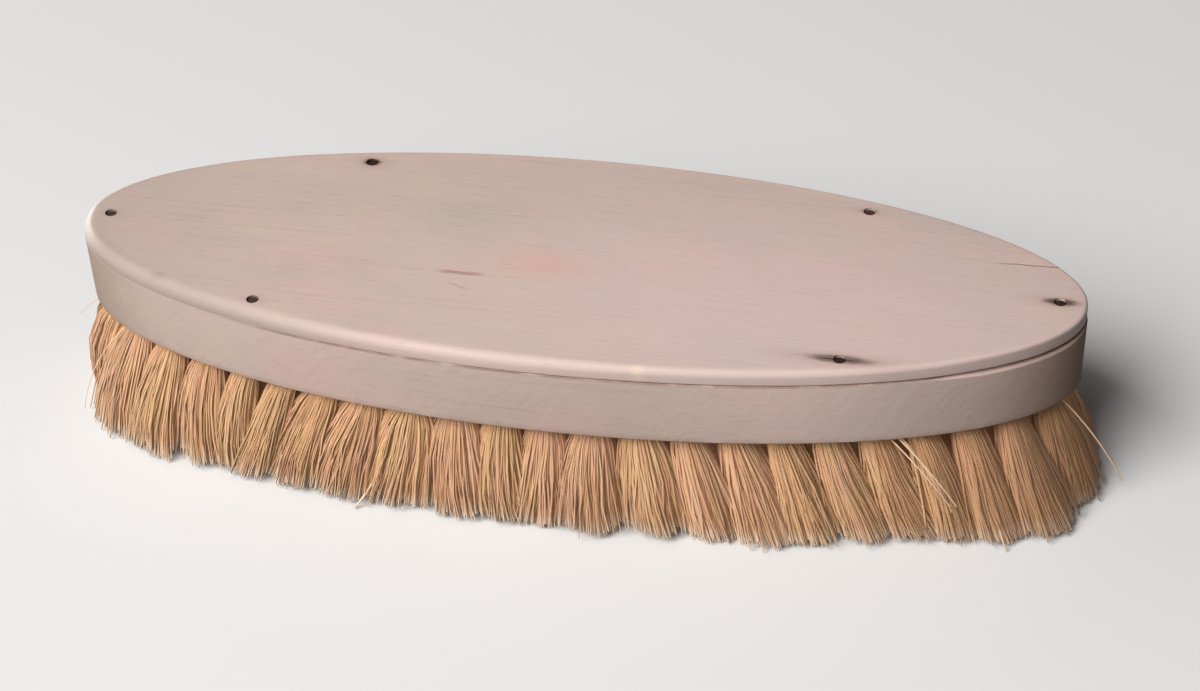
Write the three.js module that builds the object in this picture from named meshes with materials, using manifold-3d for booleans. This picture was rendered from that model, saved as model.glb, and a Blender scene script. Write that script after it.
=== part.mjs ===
// Oval clothes brush, drawn by hand with plant fibre in a two-part wooden back.
//
// A thick oval stock is bored from below. In each bore sits a tuft of fibre, doubled over and
// pulled up tight by a wire that runs from bore to bore along the stock's back. A thin oval cover
// board hides the wires, and six wire nails hold it down. Nothing on the brush moves.
//
// Millimetres, +Z up, +X along the brush. The origin is on the surface that the brush stands on,
// under the middle of the back. The fibre tips reach down to z = 0.

import * as THREE from "three";
import { mergeGeometries, mergeVertices } from "three/addons/utils/BufferGeometryUtils.js";
import Module from "manifold-3d";

const wasm = await Module();
wasm.setup();

// ---- Driving dimensions ----

// The oval back
const backLength = 200;
const backWidth = 64.5;
const coverThickness = 3.2;
const coverEdgeRadius = 1.2;
const stockThickness = 14.5;
const sliceThickness = 2; // the lowest slice of the stock, which the tufts are fused to

// The rows of tufts
const bristleLength = 24; // from the stock's underside to the trimmed tips
const outerRowInset = 6.2; // from the outline to the middle of the outer row
const rowSpacing = 10.4;
const tuftPitch = 8.9; // along a row
const closestTufts = 8; // where a row in the middle draws near to the second row
const middleColumns = 5; // columns of tufts in the middle third of the bristles
const endSplay = 0.8; // tufts at the ends of the brush lean out further by this share

// The stepped bores and the fibre roots in them
const boreDiameter = 6;
const boreDepth = 8; // from the underside
const rootClearance = 0.35; // root to bore, all round and at its end

// The wires on the stock's back
const wireDiameter = 0.6;
const wireHoleDiameter = 3;
const wireLegSpacing = 1.1; // between the two legs of the loop in each hole
const wireClearance = 0.3; // wire to the wood below and above it
const recessRim = 2.3; // wood left round the wires' recess, which the cover sits on

// The nails
const nailLength = 8.5;
const nailDiameter = 1.3;
const nailHeadDiameter = 2.2;
const nailHeadThickness = 0.5;
const nailPointLength = 1.8;
const nailSet = 0.35; // the heads lie this far below the cover's face
const nailClearance = 0.12; // nail to wood, all round
const nailStandoff = 2; // nail to the outer row's wire

// The strands that stand for the fibres of a tuft
const tipTrim = 0.5; // the strands are cut off flat by this much
const shortShare = 0.3; // of the strands are too short to reach the floor
const shortestTip = 1.1; // a short strand ends at most this far above it
const tipWander = 0.45; // a tip strays this far from its place
const strandFlare = 1.2; // girth at the tip over girth at the root
const sliceGap = 0.3; // between neighbouring slices

// ---- Facets ----

const outlineSteps = 72;
const edgeSteps = 2;
const boreSides = 5;
const wireHoleSides = 4;
const wireSides = 3;
const nailSides = 8;
const strandSides = 3;
const overcut = 1; // how far a cutter runs past the face that it opens

// ---- Heights ----

const undersideZ = bristleLength;
const sliceTopZ = undersideZ + sliceThickness;
const boreEndZ = undersideZ + boreDepth;
const stockTopZ = undersideZ + stockThickness;
const recessFloorZ = stockTopZ - wireDiameter - 2 * wireClearance;
const coverTopZ = stockTopZ + coverThickness;
const nailTopZ = coverTopZ - nailSet;

// ---- Materials ----

const coverWood = new THREE.MeshStandardMaterial({ color: "#d3c4b6", roughness: 0.72, metalness: 0 });
const stockWood = new THREE.MeshStandardMaterial({ color: "#c8b6a6", roughness: 0.78, metalness: 0 });
const plantFibre = new THREE.MeshStandardMaterial({ color: "#d2a36b", roughness: 0.85, metalness: 0 });
const brassWire = new THREE.MeshStandardMaterial({ color: "#b08d4a", roughness: 0.4, metalness: 1 });
const rustyIron = new THREE.MeshStandardMaterial({ color: "#3a2a22", roughness: 0.8, metalness: 0.6 });

const brush = new THREE.Group();

function addPiece(name, geometry, material) {
  const mesh = new THREE.Mesh(geometry, material);
  mesh.name = name;
  brush.add(mesh);
}

// ---- Solids ----

// A closed geometry as a solid that can be joined and cut.
function solidOf(geometry) {
  const bare = geometry.clone();
  bare.deleteAttribute("normal");
  bare.deleteAttribute("uv");
  const merged = mergeVertices(bare, 1e-4);
  return new wasm.Manifold(
    new wasm.Mesh({
      numProp: 3,
      vertProperties: merged.attributes.position.array,
      triVerts: new Uint32Array(merged.index.array),
    }),
  );
}

function geometryOf(solid) {
  const { vertProperties, triVerts } = solid.getMesh();
  const shared = new THREE.BufferGeometry();
  shared.setAttribute("position", new THREE.BufferAttribute(vertProperties, 3));
  shared.setIndex(new THREE.BufferAttribute(triVerts, 1));
  const faceted = shared.toNonIndexed();
  faceted.computeVertexNormals();
  return faceted;
}

function ovalShape(inset) {
  return new THREE.Shape().absellipse(0, 0, backLength / 2 - inset, backWidth / 2 - inset, 0, 2 * Math.PI);
}

// An oval plate, its outline a given distance inside that of the back.
function ovalPlate(inset, fromZ, toZ) {
  const plate = new THREE.ExtrudeGeometry(ovalShape(inset), {
    depth: toZ - fromZ,
    curveSegments: outlineSteps / 2,
    bevelEnabled: false,
  });
  return plate.translate(0, 0, fromZ);
}

function block(fromX, toX, fromZ, toZ) {
  const wide = 2 * backWidth;
  const box = new THREE.BoxGeometry(toX - fromX, wide, toZ - fromZ);
  return box.translate((fromX + toX) / 2, 0, (fromZ + toZ) / 2);
}

// A prism or a taper between two level faces, with the middle of the lower at foot and of the
// upper at head. One corner points along the given turn.
function leaningPrism(foot, head, footRadius, headRadius, sides, turn) {
  const height = head.z - foot.z;
  const slope = head.clone().sub(foot).divideScalar(height);
  return new THREE.CylinderGeometry(headRadius, footRadius, height, sides)
    .rotateX(Math.PI / 2)
    .rotateZ(turn + Math.PI / 2)
    .translate(0, 0, height / 2)
    .applyMatrix4(new THREE.Matrix4().makeShear(0, 0, 0, 0, slope.x, slope.y))
    .translate(foot.x, foot.y, foot.z);
}

function uprightPrism(at, fromZ, toZ, radius, sides, turn = 0) {
  const foot = new THREE.Vector3(at.x, at.y, fromZ);
  const head = new THREE.Vector3(at.x, at.y, toZ);
  return leaningPrism(foot, head, radius, radius, sides, turn);
}

// ---- Where the tufts stand ----

function rowHalfAxes(row) {
  const inset = outerRowInset + row * rowSpacing;
  return [backLength / 2 - inset, backWidth / 2 - inset];
}

// Tufts at even steps round an oval. None stands on the long axis, where the end nails are, and
// one stands at each side's middle, so that the rows line up there.
function tuftsOfOval(halfLength, halfWidth) {
  const oval = new THREE.EllipseCurve(0, 0, halfLength, halfWidth);
  oval.arcLengthDivisions = 2000;
  const count = 4 * Math.round((oval.getLength() / tuftPitch - 2) / 4) + 2;
  return Array.from({ length: count }, (_, i) => oval.getPointAt((i + 0.5) / count));
}

// A row inside the second oval. It starts on the long axis at one end, where the ovals leave no
// room for two rows abreast, and runs on beside the axis.
function tuftsOfMiddle(side) {
  const [halfLength, halfWidth] = rowHalfAxes(1);
  const reach = (y) => halfLength * Math.sqrt(Math.max(0, 1 - (y / halfWidth) ** 2));
  const abreast = Math.floor(reach(rowSpacing / 2 + closestTufts) / tuftPitch);
  const tufts = [];
  for (let column = -abreast; column <= abreast; column++) {
    tufts.push(new THREE.Vector2(column * tuftPitch, rowSpacing / 2));
  }
  let x = -abreast * tuftPitch - Math.sqrt(tuftPitch ** 2 - (rowSpacing / 2) ** 2);
  for (; x >= -reach(closestTufts); x -= tuftPitch) {
    tufts.unshift(new THREE.Vector2(x, 0));
  }
  return tufts.map((at) => at.multiplyScalar(side));
}

// The strands of a tuft stand in a ring, which opens out from "ring" to "spread" at the tips. Halfway
// along the brush, the tips of a row lean out by "lean". An oval has two like halves.
const inner = { strands: 3, girth: 1.15, ring: 1.5, spread: 2.3 };
const rows = [
  {
    name: "outer_row",
    tufts: tuftsOfOval(...rowHalfAxes(0)),
    likeParts: 2,
    strands: 6,
    girth: 0.95,
    ring: 2.1,
    spread: 3,
    lean: 5,
  },
  {
    name: "second_row",
    tufts: tuftsOfOval(...rowHalfAxes(1)),
    likeParts: 2,
    ...inner,
    lean: 3,
  },
  {
    name: "middle_back_row",
    tufts: tuftsOfMiddle(1),
    likeParts: 1,
    ...inner,
    lean: 1,
  },
  {
    name: "middle_front_row",
    tufts: tuftsOfMiddle(-1),
    likeParts: 1,
    ...inner,
    lean: 1,
  },
];

// ---- Tufts: strands below a slice of the stock's underside, and fibre roots above it ----

// A steady value from -1 to 1 for each seed.
function stray(seed) {
  const wave = Math.sin(seed * 12.9898 + 4.1) * 43758.5453;
  return 2 * (wave - Math.floor(wave)) - 1;
}

// Square to an oval like the back's, through the given place.
function outwardFrom(at) {
  return new THREE.Vector2(at.x / backLength ** 2, at.y / backWidth ** 2).normalize();
}

function strandsOfTuft(row, index) {
  const middle = row.tufts[index];
  const likeIndex = index % (row.tufts.length / row.likeParts); // opposite tufts are alike
  const outward = outwardFrom(middle);
  const lean = row.lean * (1 + endSplay * (middle.x / (backLength / 2)) ** 2);
  const strands = [];
  for (let k = 0; k < row.strands; k++) {
    const seed = likeIndex * 17 + k * 5 + row.strands;
    const bearing = outward.angle() + ((k + 0.5) * 2 * Math.PI) / row.strands;
    const aside = new THREE.Vector2(Math.cos(bearing), Math.sin(bearing));
    const root = middle.clone().addScaledVector(aside, row.ring);
    const spread = row.spread + tipWander * stray(seed);
    const tip = middle.clone().addScaledVector(outward, lean).addScaledVector(aside, spread);
    const isShort = stray(seed + 2) > 1 - 2 * shortShare;
    const tipZ = isShort ? (shortestTip * (2 + stray(seed + 3))) / 3 : -tipTrim;
    const foot = new THREE.Vector3(tip.x, tip.y, tipZ);
    const head = new THREE.Vector3(root.x, root.y, undersideZ + sliceThickness / 2);
    strands.push(leaningPrism(foot, head, row.girth * strandFlare, row.girth, strandSides, bearing));
  }
  return strands;
}

function rootOfTuft(at) {
  const radius = boreDiameter / 2 - rootClearance / Math.cos(Math.PI / boreSides);
  const topZ = boreEndZ - wireDiameter - 2 * rootClearance;
  return uprightPrism(at, undersideZ + sliceThickness / 2, topZ, radius, boreSides);
}

// One length of the bristles. The slices are sawn apart between two columns of tufts.
function addTufts(name, fromX, toX) {
  const strands = [];
  const roots = [];
  for (const row of rows) {
    row.tufts.forEach((at, index) => {
      if (at.x < fromX || at.x > toX) return;
      strands.push(...strandsOfTuft(row, index));
      roots.push(rootOfTuft(at));
    });
  }
  const slice = solidOf(ovalPlate(0, undersideZ, sliceTopZ)).intersect(
    solidOf(block(fromX + sliceGap / 2, toX - sliceGap / 2, 0, coverTopZ)),
  );
  const aboveFloor = solidOf(block(-backLength, backLength, 0, coverTopZ));
  const trimmed = solidOf(mergeGeometries(strands)).intersect(aboveFloor);
  addPiece(name, geometryOf(slice.add(trimmed).add(solidOf(mergeGeometries(roots)))), plantFibre);
}

// ---- Wires: along each row, with a loop down every hole ----

// A tube of few sides along straight runs, mitred at each corner. Its first run is upright.
function mitredTube(points, radius, sides) {
  const last = points.length - 1;
  const runs = points.slice(1).map((point, i) => point.clone().sub(points[i]).normalize());
  let ring = Array.from({ length: sides }, (_, k) => {
    const aside = new THREE.Vector3(radius, 0, 0).applyAxisAngle(runs[0], (k * 2 * Math.PI) / sides);
    return points[0].clone().add(aside);
  });
  const corners = [...ring];
  for (let i = 1; i <= last; i++) {
    const run = runs[i - 1];
    const mitre = i < last ? run.clone().add(runs[i]) : run;
    ring = ring.map((corner) => {
      const travel = points[i].clone().sub(corner).dot(mitre) / run.dot(mitre);
      return corner.clone().addScaledVector(run, travel);
    });
    corners.push(...ring);
  }
  const at = (i, k) => i * sides + (k % sides);
  const faces = [];
  for (let i = 0; i < last; i++) {
    for (let k = 0; k < sides; k++) {
      faces.push(at(i, k), at(i, k + 1), at(i + 1, k + 1));
      faces.push(at(i, k), at(i + 1, k + 1), at(i + 1, k));
    }
  }
  for (let k = 1; k < sides - 1; k++) {
    faces.push(at(0, 0), at(0, k + 1), at(0, k));
    faces.push(at(last, 0), at(last, k), at(last, k + 1));
  }
  return new THREE.BufferGeometry().setFromPoints(corners).setIndex(faces);
}

function alongRow(tufts, index) {
  const before = tufts[Math.max(0, index - 1)];
  const after = tufts[Math.min(tufts.length - 1, index + 1)];
  return after.clone().sub(before).normalize();
}

// The row's wire as far as the last tuft, with two ends left open.
function addWire({ name, tufts }) {
  const runZ = recessFloorZ + wireClearance + wireDiameter / 2;
  const loopZ = boreEndZ - rootClearance - wireDiameter / 2;
  const points = tufts.flatMap((at, index) => {
    const step = alongRow(tufts, index).multiplyScalar(wireLegSpacing / 2);
    const near = at.clone().sub(step);
    const far = at.clone().add(step);
    return [
      new THREE.Vector3(near.x, near.y, runZ),
      new THREE.Vector3(near.x, near.y, loopZ),
      new THREE.Vector3(far.x, far.y, loopZ),
      new THREE.Vector3(far.x, far.y, runZ),
    ];
  });
  addPiece(`drawing_wire_${name}`, mitredTube(points, wireDiameter / 2, wireSides), brassWire);
}

// ---- Nails: six, outside the outer row's wire ----

// A nail stands beside the gap before a tuft of the outer row, counted from the right end. Driven
// by eye, it may stand off the gap's middle by a share of the gap.
const outerTufts = rows[0].tufts;
const halfRound = outerTufts.length / 2;
const nails = [
  { name: "nail_right_end", gap: 0, share: 0 },
  { name: "nail_back_right", gap: 5, share: 0.2 },
  { name: "nail_back_left", gap: halfRound - 6, share: -0.25 },
  { name: "nail_left_end", gap: halfRound, share: 0 },
  { name: "nail_front_left", gap: halfRound + 5, share: -0.05 },
  { name: "nail_front_right", gap: 2 * halfRound - 5, share: -0.25 },
].map(({ name, gap, share }) => {
  const before = outerTufts[(gap - 1 + outerTufts.length) % outerTufts.length];
  const after = outerTufts[gap];
  const outward = after.clone().sub(before).normalize().rotateAround(new THREE.Vector2(), -Math.PI / 2);
  return { name, at: before.clone().lerp(after, 0.5 + share).addScaledVector(outward, nailStandoff) };
});

function addNail({ name, at }) {
  const shank = nailDiameter / 2;
  const head = nailHeadDiameter / 2;
  const profile = [
    new THREE.Vector2(0, -nailLength),
    new THREE.Vector2(shank, nailPointLength - nailLength),
    new THREE.Vector2(shank, -nailHeadThickness),
    new THREE.Vector2(head, -nailHeadThickness / 2),
    new THREE.Vector2(head, 0),
    new THREE.Vector2(0, 0),
  ];
  const nail = new THREE.LatheGeometry(profile, nailSides).rotateX(Math.PI / 2);
  addPiece(name, nail.translate(at.x, at.y, nailTopZ), rustyIron);
}

// The holes that the nails leave in the wood, with a dent round each head.
function nailHoles() {
  const shank = nailDiameter / 2 + nailClearance;
  const head = nailHeadDiameter / 2 + nailClearance;
  const pointZ = nailTopZ - nailLength - nailClearance;
  const dentZ = nailTopZ - nailHeadThickness - nailClearance;
  const holes = nails.map(({ at }) => uprightPrism(at, pointZ, coverTopZ, shank, nailSides));
  const dents = nails.map(({ at }) => uprightPrism(at, dentZ, coverTopZ + overcut, head, nailSides));
  return solidOf(mergeGeometries(holes)).add(solidOf(mergeGeometries(dents)));
}

// ---- Stock and cover ----

function addStock() {
  const cuts = rows.flatMap(({ tufts }) =>
    tufts.map((at, index) => {
      const turn = alongRow(tufts, index).angle();
      const holeTopZ = recessFloorZ + overcut / 2;
      return {
        bore: uprightPrism(at, sliceTopZ - overcut, boreEndZ, boreDiameter / 2, boreSides),
        hole: uprightPrism(at, boreEndZ - overcut, holeTopZ, wireHoleDiameter / 2, wireHoleSides, turn),
      };
    }),
  );
  const stock = solidOf(ovalPlate(0, sliceTopZ, stockTopZ))
    .subtract(solidOf(mergeGeometries(cuts.map(({ bore }) => bore))))
    .subtract(solidOf(mergeGeometries(cuts.map(({ hole }) => hole))))
    .subtract(solidOf(ovalPlate(recessRim, recessFloorZ, stockTopZ + overcut)))
    .subtract(nailHoles());
  addPiece("bristle_stock", geometryOf(stock), stockWood);
}

// The cover is a board rounded along all its edges, less what lies below the joint.
function addCover() {
  const rounded = new THREE.ExtrudeGeometry(ovalShape(0), {
    depth: coverThickness,
    curveSegments: outlineSteps / 2,
    bevelThickness: coverEdgeRadius,
    bevelSize: coverEdgeRadius,
    bevelOffset: -coverEdgeRadius,
    bevelSegments: edgeSteps,
  }).translate(0, 0, coverTopZ - coverEdgeRadius - coverThickness);
  const cover = solidOf(rounded)
    .subtract(solidOf(block(-backLength, backLength, 0, stockTopZ)))
    .subtract(nailHoles());
  addPiece("cover_board", geometryOf(cover), coverWood);
}

addCover();
addStock();
const sawLine = (middleColumns / 2) * tuftPitch;
addTufts("tufts_left_end", -backLength, -sawLine);
addTufts("tufts_middle", -sawLine, sawLine);
addTufts("tufts_right_end", sawLine, backLength);
rows.forEach(addWire);
nails.forEach(addNail);

export default brush;
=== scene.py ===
# An oval clothes brush: two wooden boards nailed together, with drawn-in tufts of plant fibre.
# Metres, +Z up, +X along the brush. It stands on its fibre tips at z = 0.

import math

import bpy
import numpy as np
from mathutils import Matrix, Vector, noise


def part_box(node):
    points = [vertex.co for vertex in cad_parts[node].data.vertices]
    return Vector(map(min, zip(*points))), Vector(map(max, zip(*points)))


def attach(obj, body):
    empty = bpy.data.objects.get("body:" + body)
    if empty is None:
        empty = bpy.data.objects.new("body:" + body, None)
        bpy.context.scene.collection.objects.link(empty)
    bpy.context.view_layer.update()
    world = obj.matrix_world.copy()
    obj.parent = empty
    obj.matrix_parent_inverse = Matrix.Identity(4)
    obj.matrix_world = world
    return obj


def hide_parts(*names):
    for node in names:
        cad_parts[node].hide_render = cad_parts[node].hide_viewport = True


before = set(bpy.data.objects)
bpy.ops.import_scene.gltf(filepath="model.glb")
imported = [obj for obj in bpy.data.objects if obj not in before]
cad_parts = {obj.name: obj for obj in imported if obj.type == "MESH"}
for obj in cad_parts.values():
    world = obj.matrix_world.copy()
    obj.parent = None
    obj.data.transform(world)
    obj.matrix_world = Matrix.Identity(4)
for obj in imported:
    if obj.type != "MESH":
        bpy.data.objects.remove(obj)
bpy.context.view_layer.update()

# ---- The cover board ----
# A thin oval board of bleached bare wood, its upper edge rounded over by hand and polished by use,
# with a painted highlight along that edge.
# It hides the drawing wires and is held down by six nails, two of which have split the grain.

MM = 0.001
cover_low, cover_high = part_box("cover_board")
half_length = cover_high.x
half_width = cover_high.y
cover_bottom = cover_low.z
cover_top = cover_high.z

outline_steps = 384
turn = np.arange(outline_steps) * 2 * math.pi / outline_steps
edge_steps = 8
# In millimetres, by the bearing from the right end in degrees: the radius of the cover's upper
# edge, and the gap between the boards, which are shut at the left and stand open at the right.
edge_radii = {0: 0.7, 90: 0.6, 140: 1.0, 180: 2.2, 230: 2.3, 263: 1.9, 300: 1.3, 335: 0.7}
joint_gaps = {
    0: 0.5,
    60: 0.15,
    150: 0.1,
    180: 0.02,
    225: 0.02,
    245: 0.05,
    263: 0.06,
    281: 0.1,
    300: 0.08,
    315: 0.2,
    325: 0.8,
    345: 0.8,
}
edge_unevenness = 0.12  # as a share
joint_arris = 0.4 * MM  # the rounding of both boards beside an open joint
joint_shut = 0.1 * MM  # where the joint is narrower than this, both boards' edges are sharper
shading_margin = 0.8 * MM  # a flat ring beside each rounded edge, so that the face shades flat

nail_names = [name for name in sorted(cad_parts) if name.startswith("nail_")]
nail_boxes = {name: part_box(name) for name in nail_names}
nail_places = {name: ((low + high) / 2).xy for name, (low, high) in nail_boxes.items()}
nail_low, nail_high = nail_boxes[nail_names[0]]
nail_top = nail_high.z
nail_bottom = nail_low.z
nail_head_radius = (nail_high.x - nail_low.x) / 2
nail_head_thickness = 0.5 * MM
nail_shank_radius = 0.65 * MM
nail_clearance = 0.12 * MM


def oval_ring(inset, height):
    """A ring of points inside the oval outline. The inset and the height may differ round it."""
    outward = np.stack([np.cos(turn) / half_length, np.sin(turn) / half_width], axis=1)
    outward /= np.linalg.norm(outward, axis=1, keepdims=True)
    rim = np.stack([half_length * np.cos(turn), half_width * np.sin(turn)], axis=1)
    inset = np.broadcast_to(inset, turn.shape)
    height = np.broadcast_to(height, turn.shape)
    return np.column_stack([rim - outward * inset[:, None], height])


def round_ring(centre, radius, height, sides=28):
    """A level ring of points round a centre."""
    sweep = np.arange(sides) * 2 * math.pi / sides
    x = centre[0] + radius * np.cos(sweep)
    y = centre[1] + radius * np.sin(sweep)
    return np.column_stack([x, y, np.full(sides, height)])


def around(radius, corner_inset, corner_height, start, end):
    """Rings round a rounded edge, from one angle above the horizon to another."""
    angles = np.radians(np.linspace(start, end, edge_steps + 1))
    return [
        oval_ring(corner_inset - radius * np.cos(angle), corner_height + radius * np.sin(angle))
        for angle in angles
    ]


def add_object(name, data):
    made = bpy.data.objects.new(name, data)
    bpy.context.collection.objects.link(made)
    return made


def loft(name, bodies):
    """An object of closed bodies, each a stack of rings with the same number of points."""
    points, faces = [], []
    for rings in bodies:
        first, sides = len(points), len(rings[0])
        points += [tuple(point) for ring in rings for point in ring]
        for level in range(len(rings) - 1):
            for side in range(sides):
                low = first + level * sides
                beside = (side + 1) % sides
                faces.append((low + side, low + beside, low + sides + beside, low + sides + side))
        last = first + (len(rings) - 1) * sides
        faces.append(tuple(range(first + sides - 1, first - 1, -1)))
        faces.append(tuple(range(last, last + sides)))
    mesh = bpy.data.meshes.new(name)
    mesh.from_pydata(points, [], faces)
    return add_object(name, mesh)


def applied(piece):
    """Turns what the modifiers make of a piece into its plain mesh."""
    evaluated = piece.evaluated_get(bpy.context.evaluated_depsgraph_get())
    mesh = bpy.data.meshes.new_from_object(evaluated)
    piece.modifiers.clear()
    piece.data = mesh


def smoothed(piece, below=35):
    """Shades a piece smooth, but for the edges that are sharper than an angle in degrees."""
    piece.data.shade_smooth()
    piece.data.set_sharp_from_angle(angle=math.radians(below))


def cut(piece, cutter):
    """Cuts the shape of one object out of a piece, and removes that object."""
    boolean = piece.modifiers.new("cut", "BOOLEAN")
    boolean.object = cutter
    boolean.solver = "EXACT"
    applied(piece)
    smoothed(piece)
    bpy.data.objects.remove(cutter)


def round_the_oval(values):
    """From sizes in millimetres at some bearings, one for each point of a ring."""
    sizes = np.array(list(values.values())) * MM
    return np.interp(np.degrees(turn), list(values), sizes, period=360)


bends = [Vector((math.cos(angle), math.sin(angle), 0.1)) for angle in turn]
waves = np.array([noise.noise(bend * 4) + 0.3 * noise.noise(bend * 14) for bend in bends])
edge_radius = round_the_oval(edge_radii) * (1 + edge_unevenness * waves)
joint_gap = round_the_oval(joint_gaps)
arris = joint_arris * np.clip(joint_gap / joint_shut, 0.1, 1)
cover_set_back = joint_gap * 0.5
lower_inset = cover_set_back + arris
upper_inset = cover_set_back + edge_radius
cover_rings = [
    oval_ring(lower_inset + shading_margin, cover_bottom),
    *around(arris, lower_inset, cover_bottom + arris, -90, 0),
    *around(edge_radius, upper_inset, cover_top - edge_radius, 0, 90),
    oval_ring(upper_inset + shading_margin, cover_top),
]
cover = loft("cover_board_rounded", [cover_rings])

# Each nail sits in a dent, and two stand in splits that taper both ways along the grain.
dent_margin = 0.13 * MM  # round the nail's head, at the cover's face
dent_radius = nail_head_radius + dent_margin
dent_foot = nail_top - nail_head_thickness - nail_clearance
overcut = 1 * MM  # how far a cutter stands out of the wood that it cuts
splits = {  # the reach both ways along the grain, the width and the depth
    "nail_front_right": (5.4 * MM, 0.9 * MM, 0.7 * MM),
    "nail_right_end": (2.6 * MM, 0.8 * MM, 0.5 * MM),
}


def nail_dent(name):
    """The rings of a nail's hole through both boards, from below it up to the dent."""
    shank = nail_shank_radius + nail_clearance
    place = nail_places[name]
    return [
        round_ring(place, shank, nail_bottom - overcut),
        round_ring(place, shank, dent_foot),
        round_ring(place, nail_head_radius + nail_clearance, dent_foot),
        round_ring(place, dent_radius, cover_top),
        round_ring(place, dent_radius + overcut, cover_top + overcut),
    ]


def lens_ring(centre, reach, width, height, steps=24):
    """A ring of points that is widest at its middle and tapers off both ways."""
    sweep = np.arange(steps) * 2 * math.pi / steps
    along = np.cos(sweep)
    across = np.sign(np.sin(sweep)) * width / 2 * (1 - along**2) ** 2
    return np.column_stack([centre[0] + reach * along, centre[1] + across, np.full(steps, height)])


def split_cutter(place, reach, width, depth):
    """The rings of a wedge that is shorter and narrower at the foot of the split."""
    return [
        lens_ring(place, reach * 0.7, width * 0.3, cover_top - depth),
        lens_ring(place, reach, width, cover_top),
        lens_ring(place, reach * 1.1, width * 1.4, cover_top + overcut),
    ]


cut(cover, loft("dents", [nail_dent(name) for name in nail_names]))
split_cutters = [split_cutter(nail_places[name], *sizes) for name, sizes in splits.items()]
cut(cover, loft("splits", split_cutters))


class Link:
    """A socket in a node tree. Arithmetic on links and values adds Math nodes to the tree."""

    def __init__(self, tree, socket=None):
        self.tree = tree
        self.socket = socket

    def node(self, kind, settings, *values, output=None, **named):
        """Adds a node: its settings first, then its sockets, in their order or by name."""
        made = self.tree.nodes.new(kind)
        for setting, value in settings.items():
            setattr(made, setting, value)
        inputs = [socket for socket in made.inputs if socket.enabled]
        chosen = dict(enumerate(values))
        names = [socket.name for socket in inputs]
        chosen.update({names.index(name.replace("_", " ")): value for name, value in named.items()})
        for index, value in chosen.items():
            if isinstance(value, Link):
                self.tree.links.new(value.socket, inputs[index])
            else:
                inputs[index].default_value = value
        outputs = [socket for socket in made.outputs if socket.enabled]
        first = Link(self.tree, outputs[0])
        return first if output is None else first.beside(output)

    def beside(self, output):
        """Another output of the node that this link comes from, by its name or number."""
        return Link(self.tree, self.socket.node.outputs[output])

    def plain(self, colour):
        """A colour to start from."""
        made = self.node("ShaderNodeRGB", {})
        made.socket.default_value = (*colour, 1.0)
        return made

    def math(self, operation, *values):
        """A Math node on values, or a Vector Math node where one of them is a vector."""

        def is_vector(value):
            if isinstance(value, Link):
                return value.socket.type in ("VECTOR", "RGBA")
            return not isinstance(value, (int, float))

        if not any(is_vector(value) for value in values):
            return self.node("ShaderNodeMath", {"operation": operation}, *values)
        spread = [(v, v, v) if isinstance(v, (int, float)) else v for v in values]
        return self.node("ShaderNodeVectorMath", {"operation": operation}, *spread)

    def __add__(self, other):
        return self.math("ADD", self, other)

    def __sub__(self, other):
        return self.math("SUBTRACT", self, other)

    def __mul__(self, other):
        return self.math("MULTIPLY", self, other)

    def __truediv__(self, other):
        return self.math("DIVIDE", self, other)

    def __pow__(self, other):
        return self.math("POWER", self, other)

    def __radd__(self, other):
        return self.math("ADD", other, self)

    def __rsub__(self, other):
        return self.math("SUBTRACT", other, self)

    def __rmul__(self, other):
        return self.math("MULTIPLY", other, self)

    def between(self, low, high):
        """0 below the low value and 1 above the high one, with a smooth rise."""
        settings = {"interpolation_type": "SMOOTHSTEP"}
        return self.node("ShaderNodeMapRange", settings, self, low, high)

    def noise(self, grain, detail=2.0, roughness=0.5, output=None):
        """Noise on this place, with lumps as large as the grain says along each axis."""
        place = self.math("DIVIDE", self, grain)
        values = dict(Vector=place, Scale=1.0, Detail=detail, Roughness=roughness)
        return self.node("ShaderNodeTexNoise", {}, output=output, **values)

    def coated(self, *coats):
        """This colour under coats of others, each with how much of it shows."""
        top = self
        for colour, amount in coats:
            top = self.node("ShaderNodeMix", {"data_type": "RGBA"}, amount, top, (*colour, 1.0))
        return top


def new_material(name, **uniform):
    """A material, its shader and its place in millimetres, with the sockets that don't vary set."""
    material = bpy.data.materials.new(name)
    material.use_nodes = True
    shader = material.node_tree.nodes["Principled BSDF"]
    for socket, value in uniform.items():
        shader.inputs[socket.replace("_", " ")].default_value = value
    place = Link(material.node_tree).node("ShaderNodeTexCoord", {}, output="Object") * 1000.0
    return material, shader, place


def dress(shader, place, colour, roughness, height, depth, **normal):
    """Links what varies over a surface: its colour, its roughness and its relief in metres."""
    bump = place.node("ShaderNodeBump", {}, Strength=1.0, Distance=depth, Height=height, **normal)
    links = place.tree.links
    links.new(colour.socket, shader.inputs["Base Color"])
    links.new(roughness.socket, shader.inputs["Roughness"])
    links.new(bump.socket, shader.inputs["Normal"])


def axis(place, index):
    """One coordinate of a place."""
    return place.node("ShaderNodeSeparateXYZ", {}, place, output=index)


def patch(place, centre, reach, ragged=0.0, hard=0.0):
    """1 at the middle of an oval patch on the cover, fading to 0 at its edge."""
    across = (place - (*centre, 0.0)) / (*reach, 1e6)  # at any height
    if ragged:
        across = across + (place.noise((2.5, 1.0, 1.0), detail=3.0, output="Color") - 0.5) * ragged
    distance = place.math("LENGTH", across)
    return 1.0 - distance.between(hard, 1.0)


def either(*masks):
    """The strongest of some masks at each place."""
    most = masks[0]
    for mask in masks[1:]:
        most = most.math("MAXIMUM", most, mask)
    return most


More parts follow.
